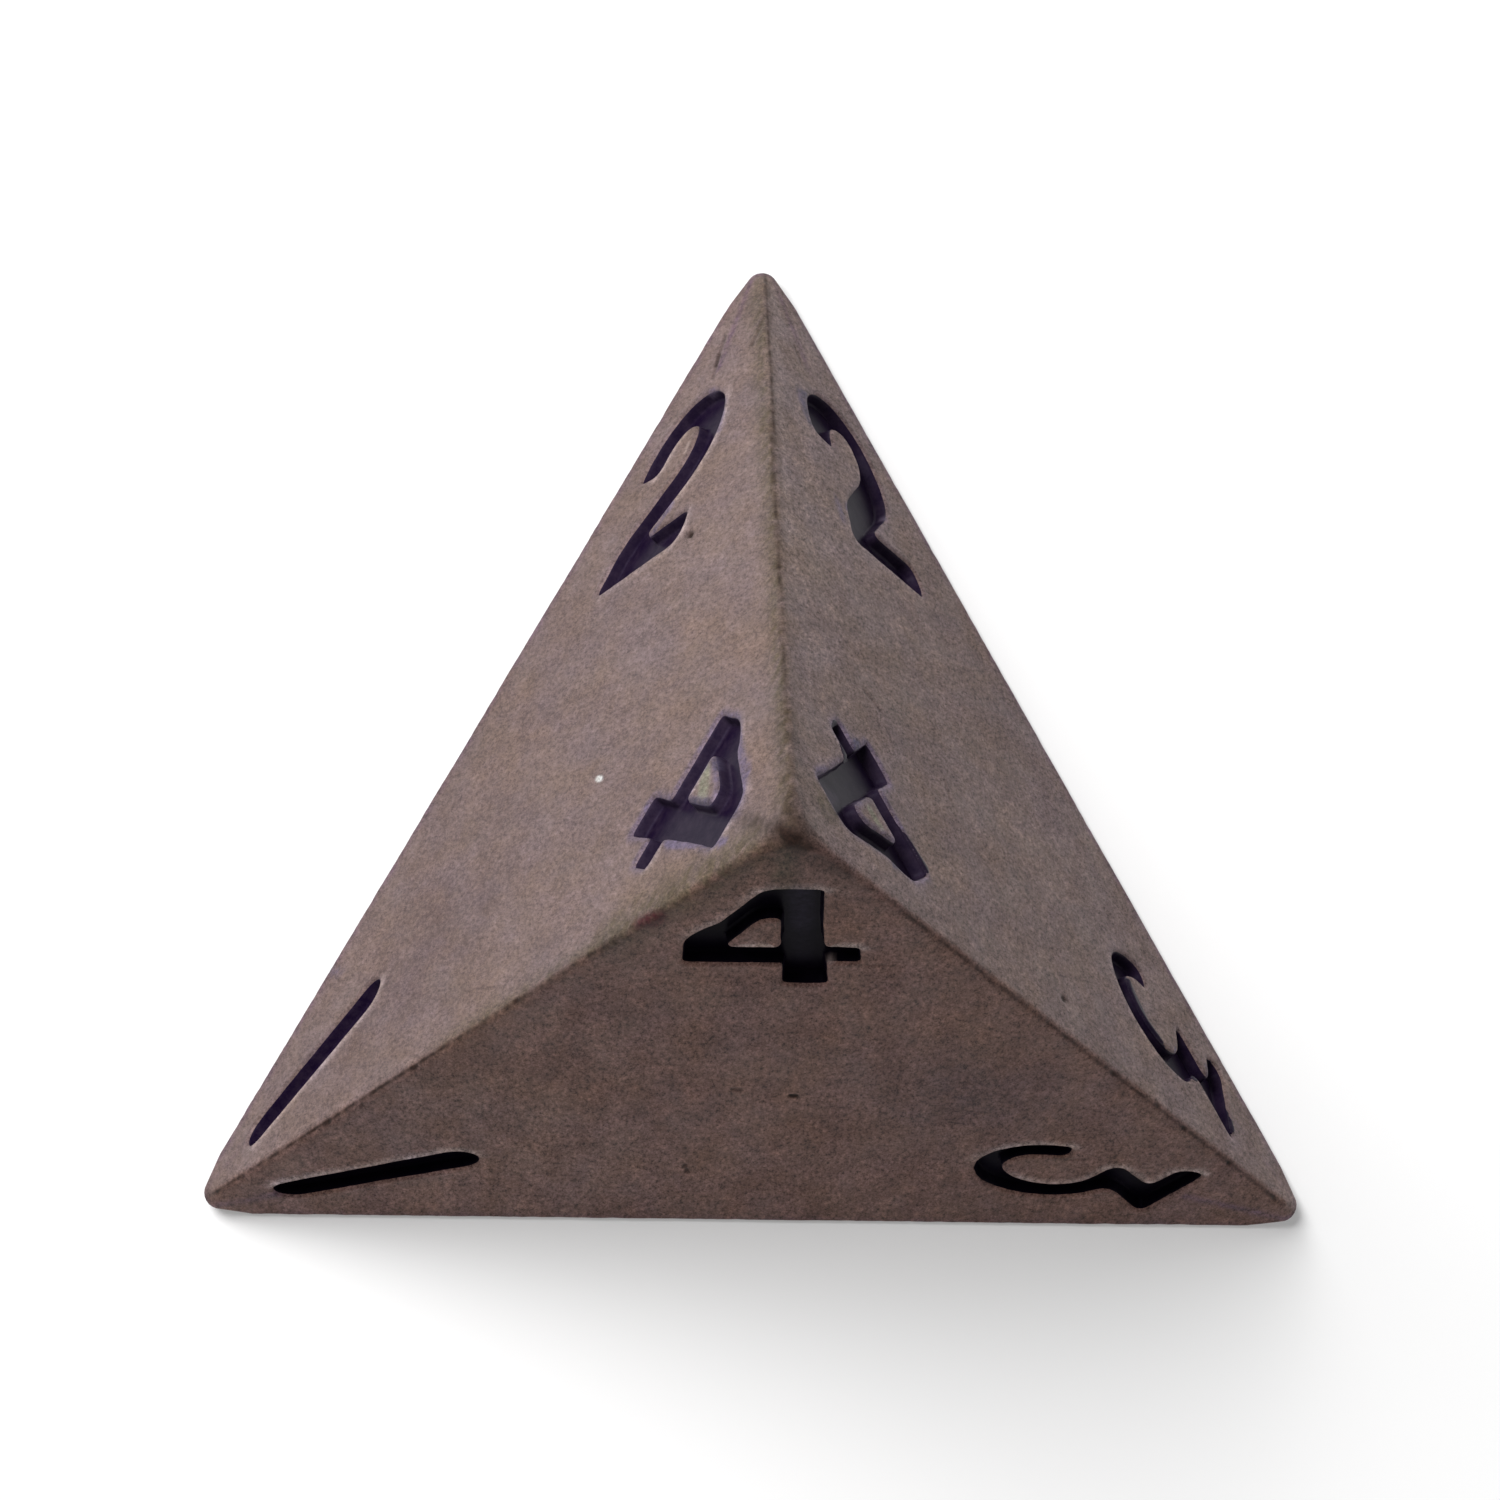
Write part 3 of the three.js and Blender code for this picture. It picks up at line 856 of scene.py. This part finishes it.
def settled(triangles, count, fixed, height):
    """Heights of a liquid skin that hangs between its fixed edge points."""
    sides = np.vstack([triangles[:, [0, 1]], triangles[:, [1, 2]], triangles[:, [2, 0]]])
    sides = np.unique(np.sort(sides, axis=1), axis=0)
    degree = np.bincount(sides.ravel(), minlength=count)
    pull = (PAINT_STEP / PAINT_REACH) ** 2
    for _ in range(SETTLING_ROUNDS):
        total = np.bincount(sides[:, 0], height[sides[:, 1]], count)
        total += np.bincount(sides[:, 1], height[sides[:, 0]], count)
        level = (total / np.maximum(degree, 1) + pull * (PAINT_EDGE_HEIGHT - PAINT_SINK)) / (1 + pull)
        height = np.where(fixed, height, level)
    return height


def film(face, rims, start, end, radius):
    """A thin film of enamel on the metal round a line, up to the rims: points, heights and triangles."""
    squeeze = np.array([1, 1 / SLOPE_STRETCH])
    start, end = start * squeeze, end * squeeze
    angles = np.linspace(0, 2 * math.pi, FILM_DIRECTIONS, endpoint=False)
    directions = np.column_stack([np.cos(angles), np.sin(angles)])
    nearest = np.where(directions @ (end - start) > 0, 1, 0)
    reach = radius * (1 + 0.3 * lumps(np.column_stack([directions, directions[:, :1]]), 0.4, 8))
    outline = np.array([start, end])[nearest] + reach[:, None] * directions
    outline = resampled(outline / squeeze, FILM_STEP)
    grid = hexagon_grid(outline.min(0), outline.max(0), FILM_STEP)
    rings = [beside(rims, distance) for distance in FILM_RINGS]
    inner = thinned(np.vstack(rings + [grid]), FILM_THINNING)
    inner = inner[distance_to(inner, [outline]) < -FILM_STEP / 2]
    inner = inner[distance_to(inner, rims) > -FILM_OVERLAP - 0.001]
    flat, triangles = triangulated(np.vstack([outline, inner]), [len(outline)])
    clear = distance_to(flat[triangles].mean(1), rims) > -FILM_OVERLAP
    inside = distance_to(flat[triangles].mean(1), [outline]) < 0
    used, where = np.unique(triangles[clear & inside], return_inverse=True)
    flat, triangles = flat[used], where.reshape(-1, 3)
    height = np.interp(distance_to(flat, rims), *zip(*RECESS_SECTION))
    height = np.maximum(height, PAINT_EDGE_HEIGHT)
    height += np.where(distance_to(flat, [outline]) < -FILM_STEP / 4, FILM_HEIGHT, -FILM_HEIGHT / 2)
    return flat, height, triangles


def closed_body(face, flat, top, floor, triangles):
    """Points in space and polygons of a closed body between two skins over the same flat points."""
    count = len(flat)
    sides = np.vstack([triangles[:, [0, 1]], triangles[:, [1, 2]], triangles[:, [2, 0]]])
    known = {tuple(side) for side in sides.tolist()}
    rim_sides = sorted((a, b) for a, b in known if (b, a) not in known)
    polygons = triangles.tolist() + (triangles[:, ::-1] + count).tolist()
    polygons += [(b, a, a + count, b + count) for a, b in rim_sides]
    sunk = relief(face.place(flat))
    return np.vstack([face.place(flat, top - sunk), face.place(flat, floor - sunk)]), polygons


def make_fill(number, face, material):
    """The enamel in one recess: a closed body whose skin climbs to the rims and sinks between them."""
    rims = rims_of[face.name][number]
    edge_loops = [outline - PAINT_EDGE_INSIDE * outward(outline) for outline in rims]
    low = np.min([loop.min(0) for loop in edge_loops], axis=0)
    high = np.max([loop.max(0) for loop in edge_loops], axis=0)
    rings = [beside(edge_loops, -distance) for distance in PAINT_RINGS]
    grid = hexagon_grid(low, high, PAINT_STEP)
    grid = grid[distance_to(grid, edge_loops) < -PAINT_RINGS[-1] - PAINT_STEP / 3]
    extra = thinned(np.vstack(rings + [grid]), PAINT_THINNING)
    points = np.vstack(edge_loops + [extra])
    flat, triangles = triangulated(points, [len(loop) for loop in edge_loops])
    centres = flat[triangles].mean(1)
    triangles = triangles[distance_to(centres, edge_loops) < 0]
    used, where = np.unique(triangles, return_inverse=True)
    flat, triangles = flat[used], where.reshape(-1, 3)
    depth = distance_to(flat, edge_loops)
    fixed = depth > -1e-3
    top = settled(triangles, len(flat), fixed, np.full(len(flat), PAINT_EDGE_HEIGHT))
    wall = np.interp(distance_to(flat, rims), *zip(*RECESS_SECTION))
    top = np.where(fixed, top, np.maximum(top, wall + PAINT_COAT))
    floor = np.minimum(wall + PAINT_FLOOR_GAP, top - PAINT_FLOOR_GAP)
    points, polygons = closed_body(face, flat, top, floor, triangles)
    for order, (place, numeral, start, end, radius) in enumerate(FILMS):
        if (place, numeral) == (face.name, number):
            flat, height, triangles = film(face, rims, start, end, radius)
            height += order % 2 * FILM_LAP
            extra, its_polygons = closed_body(face, flat, height, height - FILM_DEPTH, triangles)
            polygons += [[i + len(points) for i in polygon] for polygon in its_polygons]
            points = np.vstack([points, extra])
    shares = {name: np.zeros(len(points)) for name in ENAMEL_STAINS_AND_LIGHT}
    for name, share in smears_and_reflections(points):
        if name in shares:
            shares[name] = np.maximum(shares[name], share)
    # Lilac painted reflection on the enamel near the rims, on the side faces only
    if face.name != "front":
        near = bell(distance_to(face.flatten(points)[0], rims), 0, ENAMEL_REFLECTION_WIDTH)
        shares["lilac_reflection"] = np.maximum(shares["lilac_reflection"], ENAMEL_REFLECTION[number] * near)
    name = f"enamel_{number}_{face.name}"
    made = mesh_object(name, points, polygons, material, shares)
    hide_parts(f"paint_{number}_{face.name}")
    return made


def new_material(name):
    """An empty material with its tree and shader."""
    material = bpy.data.materials.new(name)
    material.use_nodes = True
    tree = material.node_tree
    shader = next(node for node in tree.nodes if node.type == "BSDF_PRINCIPLED")
    return material, tree, shader


def node(tree, kind, inputs=None, **settings):
    """Adds a node. Inputs are values or sockets by name, settings are its own properties."""
    made = tree.nodes.new(kind)
    for name, value in settings.items():
        setattr(made, name, value)
    for name, value in (inputs or {}).items():
        if isinstance(value, bpy.types.NodeSocket):
            tree.links.new(value, made.inputs[name])
        else:
            made.inputs[name].default_value = value
    return made


def millimetres(tree):
    """The object's own coordinates in millimetres."""
    own = node(tree, "ShaderNodeTexCoord").outputs["Object"]
    return node(tree, "ShaderNodeMapping", {"Vector": own, "Scale": (1 / MM,) * 3}).outputs["Vector"]


def noise_of(tree, place, per_mm, detail, roughness):
    """Noise from 0 to 1 with about so many lumps in a millimetre."""
    inputs = {"Vector": place, "Scale": per_mm, "Detail": detail, "Roughness": roughness}
    return node(tree, "ShaderNodeTexNoise", inputs).outputs["Fac"]


def ranged(tree, value, low, high, to_low, to_high):
    """The value moved from one range to another and kept in it."""
    inputs = {"Value": value, "From Min": low, "From Max": high, "To Min": to_low, "To Max": to_high}
    return node(tree, "ShaderNodeMapRange", inputs).outputs["Result"]


def combined(tree, operation, first, second, clamp=False):
    """Two numbers put together by an operation."""
    inputs = {0: first, 1: second}
    return node(tree, "ShaderNodeMath", inputs, operation=operation, use_clamp=clamp).outputs[0]


def mixed(tree, share, first, second, blend="MIX"):
    """Two colours mixed by a share."""
    made = node(tree, "ShaderNodeMix", data_type="RGBA", blend_type=blend)
    for socket, value in zip((made.inputs[0], made.inputs[6], made.inputs[7]), (share, first, second)):
        if isinstance(value, bpy.types.NodeSocket):
            tree.links.new(value, socket)
        else:
            socket.default_value = value
    return made.outputs[2]


def attribute(tree, name):
    """A number that the mesh carries at its points."""
    return node(tree, "ShaderNodeAttribute", attribute_name=name).outputs["Fac"]


# Noises: lumps in a millimetre, detail and roughness
MOTTLE = (0.7, 5.0, 0.7)
TONE = (0.9, 5.0, 0.7)
BLOTCH = (2.5, 3.0, 0.7)
GRAIN = (13.0, 2.0, 1.0)
FOLD = (2.5, 1.5, 0.6)
CRUMPLE = (4.0, 4.0, 0.6)
POLISH = (1.3, 3.0, 0.6)
SCUFF = (4.0, 4.0, 0.8)
STAIN_AND_LIGHT_BREAKS = (6.0, 3.0, 0.8)

# Surfaces
METALLIC = 0.42
METAL_GLOSS = 0.2
METAL_ROUGHNESS = (0.62, 0.78)
BUMP_STRENGTH = 0.6
GRAIN_DEPTH = 0.007
CRUMPLE_DEPTH = 0.025
ENAMEL = {"colour": (0.008, 0.0035, 0.016, 1), "gloss": 0.018, "scuffing": 0.5}
# A darker, less glossy copy of the enamel for the front face: painted shade
SHADED_FRONT_ENAMEL = {"colour": (0.002, 0.001, 0.004, 1), "gloss": 0.006, "scuffing": 0.1}
ENAMEL_ROUGHNESS = 0.35
ENAMEL_TINT = (0.80, 0.76, 1.0, 1)

# Colours of metal and enamel, and what multiplies them
METAL_LIGHT = (0.185, 0.1300, 0.1190, 1)
METAL_DEEP = (0.1420, 0.0978, 0.0900, 1)
WARM_TINT = (1.03, 1.00, 0.92, 1)
COOL_TINT = (0.97, 0.985, 1.08, 1)
GRAIN_DARK = (0.05, 0.03, 0.02, 1)
GRAIN_LIGHT = (1.95, 1.97, 1.98, 1)
CREASE_SHADE_COLOUR = (0.62, 0.60, 0.60, 1)
BLOTCH_DARK = (0.73, 0.72, 0.71, 1)
BLOTCH_LIGHT = (1.27, 1.28, 1.29, 1)
ENAMEL_SCUFF = (0.040, 0.026, 0.045, 1)

# Stains and painted reflections, glints and sheen that lie on enamel too, and stains, glints and painted
# shade that no noise breaks up
ENAMEL_STAINS_AND_LIGHT = ("haze_reflection", "lilac_reflection", "bare", "speck_and_glint")
EVEN_STAINS_AND_SHADE = ("front_shade", "speck_and_glint", "painted_dark")


def stained_and_lit(tree, colour, names):
    """The colour with the stains and painted light of those names over it, most of them broken up by a
    little noise.
    """
    place = millimetres(tree)
    broken = ranged(tree, noise_of(tree, place, *STAIN_AND_LIGHT_BREAKS), 0.3, 0.7, 0.5, 1.5)
    for name in names:
        share = attribute(tree, name)
        if name not in EVEN_STAINS_AND_SHADE:
            share = combined(tree, "MULTIPLY", share, broken, clamp=True)
        colour = mixed(tree, share, colour, STAIN_AND_LIGHT_COLOURS[name])
    return colour


def metal_material():
    """Satin blasted metal: mottled and grainy, darker in its nicks, with painted shade in its creases, tan
    and dark painted shade along its upper ridges and round its top corner, and painted sheen, highlights
    and reflections in places.
    """
    material, tree, shader = new_material("satin_cast_metal")
    place = node(tree, "ShaderNodeMapping", {"Vector": millimetres(tree), "Scale": DRAWN_OUT})
    place = place.outputs["Vector"]
    mottle = noise_of(tree, place, *MOTTLE)
    tone = noise_of(tree, place, *TONE)
    blotch = noise_of(tree, place, *BLOTCH)
    grain = noise_of(tree, place, *GRAIN)
    colour = mixed(tree, ranged(tree, mottle, 0.3, 0.7, 0.0, 1.0), METAL_DEEP, METAL_LIGHT)
    colour = stained_and_lit(tree, colour, STAIN_AND_LIGHT_COLOURS)
    tint = mixed(tree, ranged(tree, tone, 0.35, 0.65, 0.0, 1.0), COOL_TINT, WARM_TINT)
    colour = mixed(tree, 1.0, colour, tint, "MULTIPLY")
    patches = mixed(tree, ranged(tree, blotch, 0.3, 0.7, 0.0, 1.0), BLOTCH_DARK, BLOTCH_LIGHT)
    coarse = attribute(tree, "coarse")
    colour = mixed(tree, coarse, colour, patches, "MULTIPLY")
    speckle = mixed(tree, ranged(tree, grain, 0.25, 0.75, 0.0, 1.0), GRAIN_DARK, GRAIN_LIGHT)
    colour = mixed(tree, coarse, colour, speckle, "MULTIPLY")
    # Painted shade in the fine creases of the skin
    fold = combined(tree, "PINGPONG", noise_of(tree, place, *FOLD), 0.5)
    patchy = ranged(tree, blotch, 0.45, 0.60, 0.0, 0.8)
    crease_shade = combined(tree, "MULTIPLY", ranged(tree, fold, 0.48, 0.50, 0.0, 1.0), patchy)
    colour = mixed(tree, crease_shade, colour, mixed(tree, 1.0, colour, CREASE_SHADE_COLOUR, "MULTIPLY"))
    tree.links.new(colour, shader.inputs["Base Color"])
    rough = ranged(tree, noise_of(tree, place, *POLISH), 0.3, 0.7, *METAL_ROUGHNESS)
    tree.links.new(rough, shader.inputs["Roughness"])
    shader.inputs["Metallic"].default_value = METALLIC
    shader.inputs["Specular IOR Level"].default_value = METAL_GLOSS
    inputs = {"Height": grain, "Strength": BUMP_STRENGTH, "Distance": GRAIN_DEPTH * MM}
    fine = node(tree, "ShaderNodeBump", inputs).outputs["Normal"]
    crumple = noise_of(tree, place, *CRUMPLE)
    inputs = {"Height": crumple, "Strength": BUMP_STRENGTH, "Distance": CRUMPLE_DEPTH * MM, "Normal": fine}
    skin = node(tree, "ShaderNodeBump", inputs).outputs["Normal"]
    tree.links.new(skin, shader.inputs["Normal"])
    return material


def enamel_material(name, colour, gloss, scuffing):
    """Gloss enamel, lightly scuffed, with painted reflections and glints, and worn through in spots."""
    material, tree, shader = new_material(name)
    scuff = ranged(tree, noise_of(tree, millimetres(tree), *SCUFF), 0.40, 0.75, 0.0, scuffing)
    colour = mixed(tree, scuff, colour, ENAMEL_SCUFF)
    tree.links.new(stained_and_lit(tree, colour, ENAMEL_STAINS_AND_LIGHT), shader.inputs["Base Color"])
    shader.inputs["Roughness"].default_value = ENAMEL_ROUGHNESS
    shader.inputs["Specular IOR Level"].default_value = gloss
    shader.inputs["Specular Tint"].default_value = ENAMEL_TINT
    return material


def shows_background(tree):
    """A socket that is one for the rays that see the background: camera, glossy and transmission."""
    rays = node(tree, "ShaderNodeLightPath").outputs
    total = rays["Is Camera Ray"]
    for name in ("Is Glossy Ray", "Is Transmission Ray"):
        total = combined(tree, "MAXIMUM", total, rays[name])
    return total


def floor_material():
    """Pale floor: matt, with a glow for the rays that see the background, so that it shows white."""
    material, tree, shader = new_material("pale_floor")
    shader.inputs["Base Color"].default_value = FLOOR_COLOUR
    shader.inputs["Roughness"].default_value = 1.0
    shader.inputs["Specular IOR Level"].default_value = 0.0
    glow = combined(tree, "MULTIPLY", shows_background(tree), FLOOR_GLOW)
    tree.links.new(glow, shader.inputs["Emission Strength"])
    shader.inputs["Emission Color"].default_value = WHITE
    return material


def make_floor():
    """A wide pale floor just under the die."""
    reach = FLOOR_REACH * MM
    mesh = bpy.data.meshes.new("floor")
    level = FLOOR_LEVEL * MM
    mesh.from_pydata(
        [(-reach, -reach, level), (reach, -reach, level), (reach, reach, level), (-reach, reach, level)],
        [],
        [(0, 1, 2, 3)],
    )
    mesh.materials.append(floor_material())
    floor = bpy.data.objects.new("floor", mesh)
    bpy.context.scene.collection.objects.link(floor)


def light_world():
    """Even pale surroundings, white to the rays that see the background."""
    world = bpy.data.worlds.new("studio")
    bpy.context.scene.world = world
    world.use_nodes = True
    tree = world.node_tree
    background = next(node for node in tree.nodes if node.type == "BACKGROUND")
    background.inputs["Color"].default_value = WHITE
    strength = ranged(tree, shows_background(tree), 0.0, 1.0, AMBIENT, 1.0)
    tree.links.new(strength, background.inputs["Strength"])


def add_lamp(name, place, size, power):
    """A square soft lamp at a place in millimetres, aimed at the die's middle."""
    data = bpy.data.lights.new(name, "AREA")
    data.size = size * MM
    data.energy = power
    lamp = bpy.data.objects.new(name, data)
    lamp.location = Vector(place) * MM
    aim = Vector(middle) * MM - lamp.location
    lamp.rotation_mode = "QUATERNION"
    lamp.rotation_quaternion = aim.to_track_quat("-Z", "Y")
    bpy.context.scene.collection.objects.link(lamp)


def make_camera():
    """The photograph's viewpoint."""
    data = bpy.data.cameras.new("camera")
    data.sensor_width = SENSOR_WIDTH
    data.lens = CAMERA_LENS
    data.clip_start = 0.01
    data.clip_end = 10.0
    camera = bpy.data.objects.new("camera", data)
    camera.location = Vector(CAMERA_PLACE) * MM
    camera.rotation_euler = [math.radians(angle) for angle in CAMERA_TURN]
    bpy.context.scene.collection.objects.link(camera)
    bpy.context.scene.camera = camera


make_camera()
make_floor()
light_world()
add_lamp("key", KEY_PLACE, KEY_SIZE, KEY_POWER)

make_casting(metal_material())
enamel = enamel_material("gloss_enamel", **ENAMEL)
# The front numerals get the darker copy of the enamel: painted shade
shaded_front_enamel = enamel_material("shaded_front_gloss_enamel", **SHADED_FRONT_ENAMEL)
for face in faces.values():
    for number in face.corners:
        make_fill(number, face, shaded_front_enamel if face.name == "front" else enamel)

bpy.context.scene.view_settings.view_transform = "Standard"
